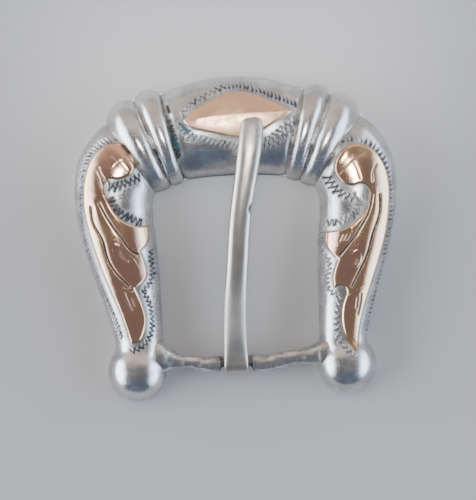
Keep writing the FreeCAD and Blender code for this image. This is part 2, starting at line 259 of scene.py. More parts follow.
# Sections of the lugs: distance from the centreline, Y, half height in Y and in Z
LEFT_LUG = [
    (11.9, -15.3, 2.1, 1.2), (11.3, -15.3, 2.3, 1.5), (10.7, -15.3, 2.2, 1.6), (9.8, -15.45, 1.75, 1.4),
    (9.1, -15.7, 1.3, 1.2), (8.4, -15.9, 1.0, 1.0), (7.7, -15.98, 0.85, 0.85), (7.2, -16.02, 0.74, 0.74),
]
RIGHT_LUG = [
    (11.9, -15.55, 1.8, 1.2), (11.3, -15.55, 2.0, 1.5), (10.7, -15.55, 1.9, 1.6), (9.7, -15.65, 1.45, 1.35),
    (8.6, -15.8, 1.15, 1.15), (7.7, -15.9, 1.0, 1.0), (7.2, -15.93, 0.9, 0.9),
]

# Places where a finish changes: X, Y, Z and reach
TONGUE_TIP = (2.4, 13.6, 6.9, 3.2)
TONGUE_SHAFT = (-0.6, -11.0, 4.9, 9.0)
VERDIGRIS = [(-6.4, 14.8, 6.0, 1.6), (-5.3, 13.9, 6.0, 1.4), (-7.4, 12.2, 5.4, 1.7)]
# Reach of the painted shade along a shell's inner foot, in millimetres
INNER_FOOT_SHADE_REACH = 1.8


def spline_through(rows, samples):
    """A natural cubic spline through rows of numbers, read at even steps of its chords' length."""
    rows = np.array(rows, float)
    steps = np.linalg.norm(np.diff(rows, axis=0), axis=1)
    knots = np.concatenate([[0.0], np.cumsum(steps)])
    last = len(rows) - 1
    system = np.eye(last + 1)
    load = np.zeros_like(rows)
    for i in range(1, last):
        system[i, i - 1: i + 2] = steps[i - 1], 2 * (steps[i - 1] + steps[i]), steps[i]
        load[i] = 6 * ((rows[i + 1] - rows[i]) / steps[i] - (rows[i] - rows[i - 1]) / steps[i - 1])
    bend = np.linalg.solve(system, load)
    at = np.linspace(0, knots[-1], samples)
    span = np.clip(np.searchsorted(knots, at, side="right") - 1, 0, last - 1)
    step = steps[span][:, None]
    a = (knots[span + 1] - at)[:, None] / step
    b = 1 - a
    curve = (a**3 - a) * bend[span] + (b**3 - b) * bend[span + 1]
    return a * rows[span] + b * rows[span + 1] + curve * step**2 / 6


def run_length(points):
    return sum(math.dist(a, b) for a, b in zip(points, points[1:]))


def trace(points, step=0.03):
    """Closely spaced points along a smooth curve."""
    return spline_through(points, max(3, round(run_length(points) / step)))


def outline(runs):
    return np.concatenate([trace(run)[:-1] for run in runs])


def both_halves(stations):
    left = [((-o[0], o[1]), (-i[0], i[1]), rise) for o, i, rise in reversed(stations[1:])]
    return left + stations


def ball_stations():
    x, y = BALL_CENTRE
    made = []
    for degrees in BALL_ANGLES:
        across = max(BALL_RADIUS * math.cos(math.radians(degrees)), MERGE)
        down = y - BALL_RADIUS * math.sin(math.radians(degrees))
        made.append(((x + across, down), (x - across, down), across))
    return made


class Nearest:
    """Closest of a set of points in plan, in millimetres."""

    def __init__(self, points):
        self.points = points
        self.tree = kdtree.KDTree(len(points))
        for i, point in enumerate(points):
            self.tree.insert((point[0], point[1], 0), i)
        self.tree.balance()

    def find(self, x, y):
        """The closest point, with whatever it carries, and how far away it is."""
        _, index, distance = self.tree.find((x, y, 0))
        return self.points[index], distance

    def distance(self, x, y):
        return self.tree.find((x, y, 0))[2]


def strokes(path, pitch, width, lean, weight, joined):
    """Cuts of a border along a path, as points with the cut's half width there: the legs of a hand-cut
    zigzag, or separate wedges that are widest at the right-hand side of the path."""
    line = spline_through(path, max(3, round(run_length(path) / pitch)))
    ahead = np.gradient(line, axis=0)
    ahead /= np.linalg.norm(ahead, axis=1)[:, None]
    across = np.stack([-ahead[:, 1], ahead[:, 0]], axis=1)
    made = []
    for i in range(len(line) - 1):
        reach = width * random.uniform(0.7, 1.1) / 2
        slant = lean / 2 + random.uniform(-0.07, 0.07)
        heavy = weight * random.uniform(0.06, 0.1)
        sign = 1 if i % 2 == 0 or not joined else -1
        start = line[i] - sign * reach * across[i] - slant * ahead[i]
        stop = line[i + 1 if joined else i] + sign * reach * across[i] + slant * ahead[i]
        count = max(3, round(math.dist(start, stop) / 0.04))
        for t in np.linspace(0, 1, count):
            half = heavy if joined else heavy * (1.5 - 0.9 * t)
            bow = 0.06 * math.sin(math.pi * t)
            made.append((*(start + (stop - start) * t + bow * ahead[i]), half))
    return made


def marks(runs, carried):
    """Single cuts along curves, each point carrying one more number."""
    return [(*point, carried) for run in runs for point in trace(run)]


class Dome:
    """The arched surface over a run of stations: u goes along the run and v over the arch."""

    def __init__(self, stations, face, lift=0.0, side=1):
        rows = [(*outer, *inner, rise) for outer, inner, rise in stations]
        longest = max(run_length([row[:2] for row in rows]), run_length([row[2:4] for row in rows]))
        widest = max(math.dist(row[:2], row[2:4]) / 2 + row[4] for row in rows)
        self.columns = round(longest / face)
        self.rows = round(widest * 0.5 * math.pi / face)
        self.sections = spline_through(rows, self.columns + 1)
        self.lift = lift
        self.side = side

    def place(self, u, v):
        row = self.sections[round(u * self.columns)]
        middle_x, middle_y = (row[0] + row[2]) / 2, (row[1] + row[3]) / 2
        half_x, half_y = (row[0] - row[2]) / 2, (row[1] - row[3]) / 2
        spread = math.cos(math.pi * v) * (1 + self.lift / max(math.hypot(half_x, half_y), self.lift, 0.001))
        height = PLATE_TOP + (row[4] + self.lift) * math.sin(math.pi * v)
        return Vector((self.side * (middle_x + spread * half_x), middle_y + spread * half_y, height)) * MM

    def mesh(self):
        """The surface as a bmesh grid, with layers that keep u and v."""
        bm = bmesh.new()
        bmesh.ops.create_grid(bm, x_segments=self.columns, y_segments=self.rows, size=0.5)
        self.u = bm.verts.layers.float.new("along")
        self.v = bm.verts.layers.float.new("over")
        for vert in bm.verts:
            u, v = vert.co.x + 0.5, vert.co.y + 0.5
            vert[self.u], vert[self.v] = u, v
            vert.co = self.place(u, v)
        return bm


def close_underneath(bm, u, v):
    """Walls off the two ends of an arched grid, then its flat underside."""
    chords = []
    for end in (0.0, 1.0):
        rim = [e for e in bm.edges if all(abs(w[u] - end) < 1e-4 for w in e.verts)]
        foot = [w for w in bm.verts if abs(w[u] - end) < 1e-4 and (w[v] < 1e-4 or w[v] > 1 - 1e-4)]
        if len(foot) == 2 and (foot[0].co - foot[1].co).length > 0.01 * MM:
            chords.append(bm.edges.new(foot))
            bmesh.ops.edgeloop_fill(bm, edges=rim + chords[-1:])
    base = [e for e in bm.edges if e.is_boundary and e not in chords]
    bmesh.ops.edgeloop_fill(bm, edges=base + chords)


class Wire:
    """A number on its way through a material's nodes, so that sums with it can be written as sums."""

    def __init__(self, finish, socket):
        self.finish = finish
        self.socket = socket

    def sum(self, operation, *values):
        return self.finish.node("Math", {"operation": operation}, dict(enumerate(values)))

    def __add__(self, other):
        return self.sum("ADD", self, other)

    def __radd__(self, other):
        return self.sum("ADD", other, self)

    def __sub__(self, other):
        return self.sum("SUBTRACT", self, other)

    def __rsub__(self, other):
        return self.sum("SUBTRACT", other, self)

    def __mul__(self, other):
        return self.sum("MULTIPLY", self, other)

    def __rmul__(self, other):
        return self.sum("MULTIPLY", other, self)

    def clamped(self):
        return self.finish.node("Clamp", {}, {"Value": self})


class Finish:
    """A material, or the world, under construction."""

    def __init__(self, owner, place="Object"):
        owner.use_nodes = True
        self.tree = owner.node_tree
        self.tree.nodes.clear()
        self.place = self.node("TexCoord", output=place)

    def node(self, kind, settings=None, inputs=None, output=0):
        """Adds a node with its settings and the values or wires of its sockets, and gives one output."""
        node = self.tree.nodes.new("ShaderNode" + kind)
        for key, value in (settings or {}).items():
            setattr(node, key, value)
        for key, value in (inputs or {}).items():
            if isinstance(value, Wire):
                self.tree.links.new(value.socket, node.inputs[key])
            else:
                node.inputs[key].default_value = value
        return Wire(self, node.outputs[output]) if node.outputs else None

    def attribute(self, name):
        return self.node("Attribute", {"attribute_name": name}, output="Fac")

    def noise(self, size, detail=2.0, stretch=(1, 1, 1), turn=0.0):
        """Noise with features of about the given size in millimetres."""
        inputs = {"Vector": self.place, "Rotation": (0, 0, turn), "Scale": stretch}
        spot = self.node("Mapping", {}, inputs)
        return self.node("TexNoise", {}, {"Vector": spot, "Scale": 1 / (size * MM), "Detail": detail})

    def step(self, value, low, high):
        """0 where the value is below low, 1 above high, and smooth between."""
        inputs = {"Value": value, "From Min": low, "From Max": high}
        return self.node("MapRange", {"interpolation_type": "SMOOTHSTEP"}, inputs)

    def near(self, x, y, z, reach):
        """1 at a point of the buckle, down to 0 at the reach from it; all in millimetres."""
        inputs = {0: self.place, 1: Vector((x, y, z)) * MM}
        away = self.node("VectorMath", {"operation": "DISTANCE"}, inputs, output="Value")
        return 1.0 - self.step(away, 0.0, reach * MM)

    def mix(self, share, first, second):
        return self.node("Mix", {"data_type": "RGBA"}, {0: share, 6: first, 7: second}, output=2)

    def surface(self, colour, metallic, roughness, height, depth):
        """Finishes the material; the height is bumped to a depth in millimetres."""
        bump = self.node("Bump", {}, {"Height": height, "Strength": 1.0, "Distance": depth * MM})
        inputs = {"Base Color": colour, "Metallic": metallic, "Roughness": roughness, "Normal": bump}
        self.node("OutputMaterial", {}, {"Surface": self.node("BsdfPrincipled", {}, inputs)})


def rgba(colour):
    return (*colour, 1.0)


def scratches(f):
    """Faint crossing hairlines, 1 in a scratch and 0 between them."""
    first = f.noise(0.16, 1.0, (1, 0.05, 1), 0.5)
    second = f.noise(0.2, 1.0, (0.05, 1, 1), 0.9)
    return f.step(first, 0.62, 0.7) + f.step(second, 0.63, 0.71)


def silver_finish(name, colours, dull=0.0):
    """Polished silver, clouded by wear, with black patina in its cuts and a little verdigris, and the same
    black as painted shade along the shells' feet and in their creases. Dull silver is rougher and yellowed,
    darker at the tongue's tip and rubbed matt along its shaft."""
    f = Finish(bpy.data.materials.new(name))
    cloud = f.noise(2.6, 4.0)
    grain = f.noise(0.5, 3.0)
    hairs = scratches(f)
    specks = f.step(f.noise(0.22, 1.0), 0.73, 0.77)
    tip = dull * f.near(*TONGUE_TIP) * (0.5 + 0.9 * grain)
    # On the tongue this is only rubbing, which makes the shaft rougher.
    rub_and_sheen = dull * f.near(*TONGUE_SHAFT) * (0.6 + 0.8 * cloud)
    # The attribute holds the patina of the shells' cuts and the painted shade along their feet and in their
    # creases.
    patina_and_shade = (f.attribute("patina_and_shade") * (0.55 + 0.9 * grain) + 0.5 * specks + tip).clamped()
    upper, middle, lower = (f.near(*spot) for spot in VERDIGRIS)
    spots = upper + middle + 0.8 * lower
    verdigris = (spots * f.step(patina_and_shade, 0.2, 0.5) * f.step(grain, 0.4, 0.55) * 1.5).clamped()
    colour = f.mix(f.step(cloud, 0.35, 0.65), rgba(colours.silver_shade), rgba(colours.silver))
    colour = f.mix(2.0 * dull * cloud, colour, rgba(colours.yellowed))
    colour = f.mix(patina_and_shade, colour, rgba(colours.patina_and_shade))
    colour = f.mix(verdigris, colour, rgba(colours.verdigris))
    rough = 0.14 + 0.28 * dull + (0.17 - 0.3 * dull) * cloud + 0.08 * hairs + 0.4 * patina_and_shade
    rough = (rough + 0.5 * rub_and_sheen).clamped()
    metallic = (1.0 - 0.6 * patina_and_shade - 0.4 * verdigris).clamped()
    height = f.noise(1.3, 2.0) + 0.25 * grain - 0.1 * hairs
    f.surface(colour, metallic, rough, height, 0.02)


def gold_finish(name, colours, dull=0.0):
    """Rose gold that turns yellow where the overlay paints its highlights and sheen and in random clouds,
    black in its cuts. Dull gold is rougher and yellower.
    """
    f = Finish(bpy.data.materials.new(name))
    cloud = f.noise(4.5, 3.0)
    grain = f.noise(0.45, 3.0)
    hairs = scratches(f)
    specks = f.step(f.noise(0.24, 1.0), 0.73, 0.77)
    patina_and_shade = (f.attribute("patina_and_shade") * (0.5 + 0.9 * grain) + 0.6 * specks).clamped()
    # Yellow where the overlay paints its highlights and sheen, in random clouds, and all over dull gold.
    tone_and_sheen = (f.attribute("tone_and_sheen") + 0.9 * f.step(cloud, 0.45, 0.7) + 0.25 * dull).clamped()
    colour = f.mix(tone_and_sheen, rgba(colours.rose_gold), rgba(colours.yellow_gold))
    colour = f.mix(patina_and_shade, colour, rgba(colours.gold_patina))
    rubs = f.step(f.noise(0.9, 3.0), 0.42, 0.62)
    rough = (0.05 + 0.17 * dull + 0.12 * dull * rubs + 0.16 * cloud + 0.06 * hairs + 0.4 * patina_and_shade).clamped()
    height = f.noise(1.3, 2.0) + 0.3 * grain - 0.1 * hairs
    f.surface(colour, (1.0 - 0.5 * patina_and_shade).clamped(), rough, height, 0.012)


def cast_finish(name, colours):
    """Uneven cast silver, rubbed bright on its lumps and dark in its pits."""
    f = Finish(bpy.data.materials.new(name))
    lumps = f.noise(1.6, 2.0)
    pits = f.noise(0.35, 2.0)
    patina_and_shade = ((1.0 - f.step(lumps, 0.36, 0.5)) * 0.3 + f.step(pits, 0.62, 0.74) * 0.35).clamped()
    patina_and_shade = (patina_and_shade + f.attribute("patina_and_shade")).clamped()
    colour = f.mix(f.step(lumps, 0.48, 0.66), rgba(colours.cast_silver), rgba(colours.silver))
    colour = f.mix(patina_and_shade, colour, rgba(colours.patina_and_shade))
    rough = (0.2 + 0.12 * pits + 0.3 * patina_and_shade).clamped()
    f.surface(colour, (1.0 - 0.5 * patina_and_shade).clamped(), rough, lumps + 0.3 * pits, 0.025)


def plate_finish(name, colours):
    """Satin sheet, drawn in one direction, with stray scratches and tarnish."""
    f = Finish(bpy.data.materials.new(name))
    drawn = f.noise(0.12, 2.0, (1, 0.02, 1), 0.03)
    cloud = f.noise(6.0, 4.0)
    hairs = scratches(f)
    tarnish = f.step(cloud, 0.5, 0.75)
    colour = f.mix(drawn, rgba(colours.silver_shade), rgba(colours.silver))
    colour = f.mix(0.35 * tarnish, colour, rgba(colours.patina_and_shade))
    rough = (0.28 + 0.12 * drawn + 0.12 * tarnish + 0.06 * hairs).clamped()
    f.surface(colour, 1.0, rough, drawn - 0.6 * hairs, 0.006)


def unevenness(x, y, sizes):
    """How far hand-worked sheet wanders from true at a place, in millimetres."""
    broad = noise.noise(Vector((x / 3.2, y / 3.2, 4.0)))
    small = noise.noise(Vector((x / 1.1, y / 1.1, 9.0)))
    return sizes.unevenness * (broad + 0.3 * small)


def fade(distance, reach):
    """1 at no distance, down to 0 some way past the reach, in the rounded shape of a worn cut."""
    return math.exp(-((distance / reach) ** 2))


def shell(node, stations, context, creases, inner_foot_shade, cuts=(), side=1, edge=None):
    """A struck shell: its arched sheet, the border cut into it, patina in the cuts, darkening along an
    overlay's edge, a thin line of painted shade along both feet of the arch, painted shade along its inner
    foot, and painted shade with some patina in the creases at its two ends, each of its own strength."""
    sizes = context.scene.buckle_sizes
    dome = Dome(stations, FINE, side=side)
    bm = dome.mesh()
    patina_and_shade = bm.verts.layers.float.new("patina_and_shade")
    bm.normal_update()
    border = Nearest(cuts) if cuts else None
    length = dome.columns * FINE
    moves = []
    for vert in bm.verts:
        x, y = side * vert.co.x / MM, vert.co.y / MM
        u, v = vert[dome.u], vert[dome.v]
        from_inner = (1 - v) * dome.rows * FINE
        rim = min(v * dome.rows * FINE, from_inner)
        eased = min(1.0, rim / 0.4)
        lift = unevenness(side * x, y, sizes) * min(1.0, rim / 0.6)
        # Painted shade: a thin dark line along both feet of the arch, and a broader one along its inner
        # foot.
        stain_and_shade = 0.2 * math.exp(-rim / 0.2) + inner_foot_shade * fade(from_inner, INNER_FOOT_SHADE_REACH)
        if border:
            (_, _, half), away = border.find(x, y)
            cut = fade(away, half)
            lift -= sizes.cut_depth * cut * eased
            stain_and_shade += min(1.0, 7.0 * half) * cut + min(0.4, 2.6 * half) * fade(away, 0.4)
        if edge:
            away = edge.distance(x, y)
            stain_and_shade += 0.55 * math.exp(-away / 0.1) + 0.12 * math.exp(-away / 0.5)
        # Painted shade, with some patina in the joint, in the crease at each end where the shell meets its
        # neighbour; the crease is also cut a little deeper.
        for strength, gap in zip(creases, (u * length, (1 - u) * length)):
            ragged = max(0.0, 0.5 + 1.3 * noise.noise(Vector((gap, y * 0.8, 2.0 * side))))
            stain_and_shade += strength * math.exp(-gap / 0.2) * ragged
            lift -= 0.1 * strength * math.exp(-gap / 0.12) * ragged * eased
        vert[patina_and_shade] = min(1.0, max(0.0, stain_and_shade))
        moves.append(lift)
    for vert, lift in zip(bm.verts, moves):
        if 0 < vert[dome.v] < 1:
            vert.co += vert.normal * lift * MM
    close_underneath(bm, dome.u, dome.v)
    bmesh.ops.remove_doubles(bm, verts=bm.verts, dist=MERGE * MM)
    finish_piece(bm, node + "_sheet", "frame", node, "polished_silver")


def inside(points, loop):
    """Which points of a list lie inside a closed outline, by counting crossings."""
    x, y = points[:, 0], points[:, 1]
    within = np.zeros(len(points), bool)
    for (ax, ay), (bx, by) in zip(loop, np.roll(loop, -1, axis=0)):
        if ay != by:
            crosses = (ay > y) != (by > y)
            within ^= crosses & (x < (bx - ax) * (y - ay) / (by - ay) + ax)
    return within


def trimmed_sheet(dome, loop):
    """The part of a dome's surface within an outline, facing up, with its edge drawn onto the outline."""
    bm = dome.mesh()
    bmesh.ops.recalc_face_normals(bm, faces=bm.faces)
    middles = np.array([face.calc_center_median()[:2] for face in bm.faces]) / MM * (dome.side, 1)
    spare = [face for face, kept in zip(bm.faces, inside(middles, loop)) if not kept]
    bmesh.ops.delete(bm, geom=spare, context="FACES")
    bm.normal_update()
    if sum(face.normal.z for face in bm.faces) < 0:
        bmesh.ops.reverse_faces(bm, faces=bm.faces)
        bm.normal_update()
    rim = Nearest(loop)
    for vert in bm.verts:
        if vert.is_boundary:
            (x, y), away = rim.find(dome.side * vert.co.x / MM, vert.co.y / MM)
            if away > 2 * FINE:
                continue  # the sheet ends here because its shell does
            move = Vector((dome.side * x, y, 0)) * MM - vert.co
            move.z = -(vert.normal.x * move.x + vert.normal.y * move.y) / max(vert.normal.z, 0.2)
            vert.co += move
    bm.normal_update()
    return bm


def overlay(node, stations, runs, context, side=1, veins=(), ridge=None, rub_and_sheen=0.0):
    """A gold overlay, carved on top with veins or with one ridge, with a rounded rim, and painted yellow
    highlights along its rim, beside its veins and on the lower side of a ridge. The last argument sets how
    strongly the outer flank of its dome is painted with a yellow reflection."""
    sizes = context.scene.buckle_sizes
    loop = outline(runs)
    rim = Nearest(loop)
    cuts = Nearest([point for path, weight in veins for point in marks([path], weight)]) if veins else None
    crest = Nearest(trace(ridge)) if ridge else None
    dome = Dome(stations, FINE, lift=SHEET, side=side)
    bm = trimmed_sheet(dome, loop)
    patina_and_shade = bm.verts.layers.float.new("patina_and_shade")
    tone_and_sheen = bm.verts.layers.float.new("tone_and_sheen")
    moves = []
    for vert in bm.verts:
        x, y = side * vert.co.x / MM, vert.co.y / MM
        from_rim = rim.distance(x, y)
        lift = unevenness(x, y, sizes) * 0.6 - 0.13 * math.exp(-((from_rim / 0.13) ** 2))
        stain_and_shade = 0.0
        # Painted highlight along the rim, and a painted yellow reflection on the dome's outer flank.
        painted_sheen = 0.5 * math.exp(-from_rim / 0.5) + rub_and_sheen * fade(vert[dome.v], 0.36)
        if cuts:
            (_, _, weight), away = cuts.find(x, y)
            cut = fade(away, 0.13 * math.sqrt(weight))
            lift -= sizes.vein_depth * weight * cut
            lift -= sizes.swell * max(0.0, weight - 0.6) / 0.4 * math.exp(-away / 0.7)
            stain_and_shade += 1.1 * weight * fade(away, 0.18)
            # Painted highlight along each side of the veins.
            painted_sheen += 0.5 * fade(away - 0.35, 0.2)
        if crest:
            away = crest.distance(x, y)
            lift -= sizes.ridge * away / (away + from_rim + 0.001)
            # Painted sheen on the part of the lozenge towards the crown's inner edge.
            painted_sheen += max(0.0, 2.4 * vert[dome.v] - 1.2)
        vert[patina_and_shade] = stain_and_shade
        vert[tone_and_sheen] = min(1.0, painted_sheen)
        moves.append(lift)
    for vert, lift in zip(bm.verts, moves):
        vert.co += vert.normal * lift * MM
    bmesh.ops.solidify(bm, geom=list(bm.faces), thickness=(SHEET + SUNK) * MM)
    finish_piece(bm, node + "_carved", "frame", node, "brushed_gold" if crest else "rose_gold")


def drawn_bar(sections, sides):
    """A closed bar through sections that are each a middle and two half axes, in millimetres. The
    sections' last number is their squareness: 2 is an oval, and 4 nearly a rectangle."""
    knots = [(*middle, *first, *second, square) for middle, first, second, square in sections]
    rows = spline_through(knots, round(run_length([section[0] for section in sections]) / FINE) + 1)
    bm = bmesh.new()
    bmesh.ops.create_grid(bm, x_segments=len(rows) - 1, y_segments=sides, size=0.5)
    for vert in bm.verts:
        angle = 2 * math.pi * vert.co.y
        row = rows[round((vert.co.x + 0.5) * (len(rows) - 1))]
        power = 2 / row[9]
        a = math.copysign(abs(math.cos(angle)) ** power, math.cos(angle))
        b = math.copysign(abs(math.sin(angle)) ** power, math.sin(angle))
        vert.co = (Vector(row[:3]) + a * Vector(row[3:6]) + b * Vector(row[6:9])) * MM
    bmesh.ops.remove_doubles(bm, verts=bm.verts, dist=2 * MERGE * MM)
    bmesh.ops.holes_fill(bm, edges=[e for e in bm.edges if e.is_boundary])
    bmesh.ops.recalc_face_normals(bm, faces=bm.faces)
    return bm


def tongue_sections():
    """Middle, half axes and squareness of each section, from the tip, round the curl to the tail."""
    path = list(TONGUE_SHANK)
    for degrees in CURL_ANGLES:
        angle = math.radians(degrees)
        y = BAR_Y + CURL_RADIUS * math.cos(angle)
        z = BAR_Z + CURL_RADIUS * math.sin(angle)
        path.append((y, z, CURL_X, CURL_HALF_WIDTH, CURL_THICKNESS / 2, SQUARE))
    path += TONGUE_TAIL
    ahead = np.gradient(np.array([(row[0], row[1]) for row in path]), axis=0)
    made = []
    for (y, z, x, half_width, half_thickness, square), (dy, dz) in zip(path, ahead):
        size = math.hypot(dy, dz)
        normal = (0, -dz / size * half_thickness, dy / size * half_thickness)
        made.append(((x, y, z), (half_width, 0, 0), normal, square))
    return made


def round_sections(rows):
    """Sections of the bar as drawn_bar takes them."""
    return [((x, y, BAR_Z), (0, radius, 0), (0, 0, radius), ROUND) for x, y, radius, _ in rows]


def roughen(bm, amount, lumpy=None):
    """Gives a bar the lumps of a casting. Where it is less lumpy than elsewhere, it is darker."""
    patina_and_shade = bm.verts.layers.float.new("patina_and_shade")
    bm.normal_update()
    moves = []
    for vert in bm.verts:
        spot = vert.co / (LUMP_SIZE * MM)
        share = lumpy(vert.co.x / MM) if lumpy else 1.0
        moves.append(amount * share * (noise.noise(spot) + 0.5 * noise.noise(spot * 2.3)))
        vert[patina_and_shade] = 0.5 * (1 - share)
    for vert, lift in zip(bm.verts, moves):
        vert.co += vert.normal * lift * MM


def finish_piece(bm, name, body, node, material):
    """Turns a bmesh into a piece and tells the frame all that it has to know about it."""
    bmesh.ops.recalc_face_normals(bm, faces=bm.faces)
    for face in bm.faces:
        face.smooth = True
    mesh = bpy.data.meshes.new(name)
    bm.to_mesh(mesh)
    bm.free()
    mesh.set_sharp_from_angle(angle=math.radians(SHARP_ANGLE))
    mesh.materials.append(bpy.data.materials[material])
    piece = bpy.data.objects.new(name, mesh)
    bpy.context.scene.collection.objects.link(piece)
    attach(piece, body)
    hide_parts(node)


def borders(rows):
    """Points of the cuts of a list of borders."""
    return [point for row in rows for point in strokes(*row)]


def size_property(name, description, default, top=0.3):
    return bpy.props.FloatProperty(
        name=name, description=description + " in millimetres", default=default, min=0.0, max=top
    )


class BuckleSizes(bpy.types.PropertyGroup):
    cut_depth: size_property("Cut depth", "Depth of the borders' cuts", 0.1)
    vein_depth: size_property("Vein depth", "Depth of the veins in the gold", 0.14)
    swell: size_property("Swell", "Rise of the gold between its veins", 0.1)
    ridge: size_property("Ridge", "Height of the lozenge's ridge", 0.2)
    unevenness: size_property("Unevenness", "Wander of hand-worked sheet", 0.045, 0.2)
    casting: size_property("Casting lumps", "Size of the bar's lumps", 0.12)


def colour_property(name, description, default):
    return bpy.props.FloatVectorProperty(
        name=name, description=description, subtype="COLOR", size=3, min=0.0, max=1.0, default=default
    )


class BuckleColours(bpy.types.PropertyGroup):
    silver: colour_property("Silver", "Polished silver", (0.77, 0.755, 0.74))
    silver_shade: colour_property("Shaded silver", "Silver where it is clouded", (0.56, 0.55, 0.54))
    yellowed: colour_property("Yellowed silver", "Silver where it has yellowed", (0.55, 0.46, 0.35))
    cast_silver: colour_property("Cast silver", "Dull skin of the cast bar", (0.58, 0.56, 0.55))
    # Also the colour of the painted shade along the shells' feet and in their creases.
    patina_and_shade: colour_property("Patina", "Black in the silver's cuts", (0.04, 0.042, 0.045))
    verdigris: colour_property("Verdigris", "Blue green corrosion", (0.01, 0.1, 0.12))
    rose_gold: colour_property("Rose gold", "Gold of the overlays", (0.82, 0.46, 0.37))
    yellow_gold: colour_property("Yellow gold", "Worn gold", (0.86, 0.58, 0.34))
    gold_patina: colour_property("Gold patina", "Brown in the gold's cuts", (0.07, 0.045, 0.045))
    floor: colour_property("Floor", "Floor under the buckle", (0.56, 0.55, 0.54))


class BUCKLE_OT_finishes(bpy.types.Operator):
    """Make the silver, gold, cast and sheet finishes"""

    bl_idname = "buckle.finishes"
    bl_label = "Make Finishes"

    def execute(self, context):
        colours = context.scene.buckle_colours
        silver_finish("polished_silver", colours)
        silver_finish("dull_silver", colours, 0.5)
        gold_finish("rose_gold", colours)
        gold_finish("brushed_gold", colours, 1.0)
        cast_finish("rough_cast_silver", colours)
        plate_finish("satin_silver", colours)
        return {"FINISHED"}


class BUCKLE_OT_crown(bpy.types.Operator):
    """Build the engraved crown and its gold lozenge"""

    bl_idname = "buckle.crown"
    bl_label = "Build Crown"

    def execute(self, context):
        edge = Nearest(outline(CROWN_OVERLAY))
        stations = both_halves(CROWN)
        cuts = borders(CROWN_BORDERS) + marks(CROWN_MARKS, 0.14)
        # The crown gets painted shade, with some patina, in the creases at its ends, and painted shade along
        # its inner foot.
        shell("crown_shell", stations, context, (1.5, 0.9), 1.1, cuts, edge=edge)
        overlay("crown_overlay", stations, CROWN_OVERLAY, context, ridge=CROWN_RIDGE)
        return {"FINISHED"}


class BUCKLE_OT_collars(bpy.types.Operator):
    """Build the two ribbed collars on each side of the crown"""

    bl_idname = "buckle.collars"
    bl_label = "Build Collars"

    def execute(self, context):
        for side, word in ((1, "right"), (-1, "left")):
            # Painted shade, with some patina, in the creases where the collars meet each other and the
            # crown, darkest where the inner collar meets the crown and more so on the left; and painted
            # shade along their inner foot.
            dark = 1.4 if side < 0 else 0.7
            shell(word + "_inner_collar", INNER_RIB, context, (dark, 0.1), 0.7, side=side)
            shell(word + "_outer_collar", OUTER_RIB, context, (0.1, 0.3), 0.7, side=side)
        return {"FINISHED"}


class BUCKLE_OT_arms(bpy.types.Operator):
    """Build the ball-ended arms and their gold overlays"""

    bl_idname = "buckle.arms"
    bl_label = "Build Arms"

    def execute(self, context):
        stations = ARM + ball_stations()
        # The arms get painted shade, with some patina, in the crease where they meet the collars. Each arm
        # has its own strength of painted shade along its inner foot and of the painted yellow reflection on
        # its gold's outer flank.
        for side, word, cuts, runs, veins, inner_foot_shade, rub_and_sheen in (
            (1, "right", RIGHT_BORDERS, RIGHT_OVERLAY, RIGHT_VEINS, 0.05, 1.1),
            (-1, "left", LEFT_BORDERS, LEFT_OVERLAY, LEFT_VEINS, 0.45, 0.5),
        ):
            edge = Nearest(outline(runs))
            shell(word + "_arm_shell", stations, context, (0.4, 0.0), inner_foot_shade, borders(cuts), side, edge)
            overlay(word + "_arm_overlay", stations, runs, context, side, veins, rub_and_sheen=rub_and_sheen)
        return {"FINISHED"}


class BUCKLE_OT_bar(bpy.types.Operator):
    """Build the cast bar and the lugs that hold it"""

    bl_idname = "buckle.bar"
    bl_label = "Build Bar"

    def execute(self, context):
        lump = context.scene.buckle_sizes.casting
        bar = drawn_bar(round_sections(BAR), BAR_SIDES)
        xs = [row[0] for row in BAR]
        shares = [row[3] for row in BAR]
        roughen(bar, lump, lambda x: float(np.interp(x, xs, shares)))
        finish_piece(bar, "bar_casting", "frame", "cross_bar", "rough_cast_silver")
        for side, word, rows in ((1, "right", RIGHT_LUG), (-1, "left", LEFT_LUG)):
            sections = [((side * x, y, BAR_Z), (0, half_y, 0), (0, 0, half_z), ROUND)
                        for x, y, half_y, half_z in rows]
            lug = drawn_bar(sections, LUG_SIDES)
            roughen(lug, lump)
            name, node = word + "_lug_casting", word + "_bar_lug"
            finish_piece(lug, name, "frame", node, "rough_cast_silver")
        return {"FINISHED"}


class BUCKLE_OT_tongue(bpy.types.Operator):
    """Build the tongue and its curl round the bar"""

    bl_idname = "buckle.tongue"
    bl_label = "Build Tongue"

    def execute(self, context):
        bm = drawn_bar(tongue_sections(), TONGUE_SIDES)
        patina_and_shade = bm.verts.layers.float.new("patina_and_shade")
        for vert in bm.verts:
            nick = fade(math.dist(vert.co, Vector(NICK) * MM) / MM, NICK_REACH)
            vert[patina_and_shade] = nick
            vert.co.x -= NICK_DEPTH * nick * MM
        finish_piece(bm, "tongue_strip", "tongue", "tongue", "dull_silver")
        return {"FINISHED"}


class BUCKLE_OT_plate(bpy.types.Operator):
    """Build the back plate with its edges eased"""

    bl_idname = "buckle.plate"
    bl_label = "Build Back Plate"

    def execute(self, context):
        bm = bmesh.new()
        bm.from_mesh(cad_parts["back_plate"].data)
        bmesh.ops.remove_doubles(bm, verts=bm.verts, dist=MERGE * MM)
        flat = math.radians(0.2)
        bmesh.ops.dissolve_limit(bm, angle_limit=flat, verts=bm.verts, edges=bm.edges)
        square = math.radians(60)
        corners = [e for e in bm.edges if len(e.link_faces) == 2 and e.calc_face_angle() > square]
        bmesh.ops.bevel(
            bm, geom=corners, offset=PLATE_EASING * MM, affect="EDGES", segments=3, profile=0.5, material=-1
        )
        finish_piece(bm, "back_sheet", "frame", "back_plate", "satin_silver")
        return {"FINISHED"}


